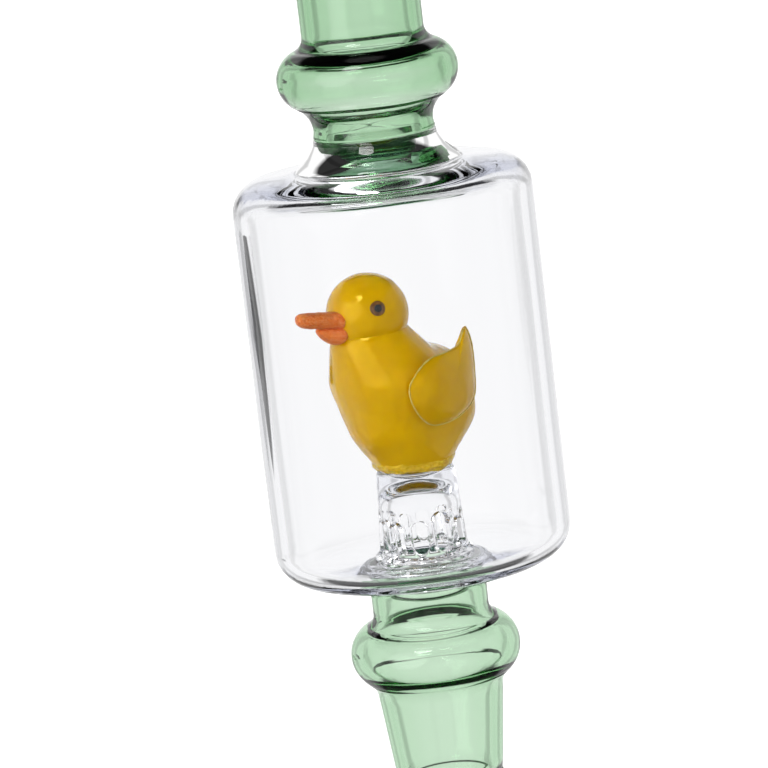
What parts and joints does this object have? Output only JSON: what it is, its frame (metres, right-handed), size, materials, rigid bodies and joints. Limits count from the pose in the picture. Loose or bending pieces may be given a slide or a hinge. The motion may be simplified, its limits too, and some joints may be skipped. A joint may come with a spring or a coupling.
{
  "type": "glass bubbler straw",
  "caption": "Hand-held glass bubbler straw: clear water chamber with a yellow glass duck on a slotted dome, green mouthpiece and stem, metal tip in a clipped ground joint.",
  "frame": {"origin": "centre of the clear chamber, on the long axis", "axes": "+Z along the long axis towards the mouthpiece, -X is the way the duck faces, -Y is the duck's left"},
  "size_m": [0.05, 0.05, 0.2195],
  "materials": {
    "green_glass": "smooth fire-polished, tinted pale green",
    "clear_glass": "smooth fire-polished, clear",
    "yellow_glass": "glossy opaque yellow glass with fine seeds",
    "yellow_frit": "fused yellow glass crumbs, uneven gloss",
    "orange_frit": "fused orange glass crumbs, satin",
    "amber_glass": "glossy amber glass",
    "black_glass": "glossy black glass",
    "clip_plastic": "moulded, semi-gloss",
    "tip_metal": "turned, satin grey"
  },
  "bodies": {
    "glass": {"mouthpiece": "green_glass", "top_plate": "clear_glass", "chamber_wall": "clear_glass", "floor_plate": "clear_glass", "percolator": "clear_glass", "frit_skirt": "yellow_frit", "duck_body": "yellow_glass", "duck_head": "yellow_glass", "upper_bill": "orange_frit", "lower_bill": "orange_frit", "left_wing": "yellow_glass", "right_wing": "yellow_glass", "left_eye": "amber_glass", "right_eye": "amber_glass", "left_pupil": "black_glass", "right_pupil": "black_glass", "lower_stem": "green_glass", "joint_socket": "green_glass"},
    "clip": {"joint_clip": "clip_plastic"},
    "tip": {"tip": "tip_metal"}
  },
  "joints": [
    {"name": "clip_swivel", "type": "hinge", "parent": "glass", "child": "clip", "pos_m": [0, 0, -0.09], "axis": [0, 0, 1], "continuous": true},
    {"name": "tip_twist", "type": "hinge", "parent": "glass", "child": "tip", "pos_m": [0, 0, -0.09], "axis": [0, 0, 1], "continuous": true}
  ]
}
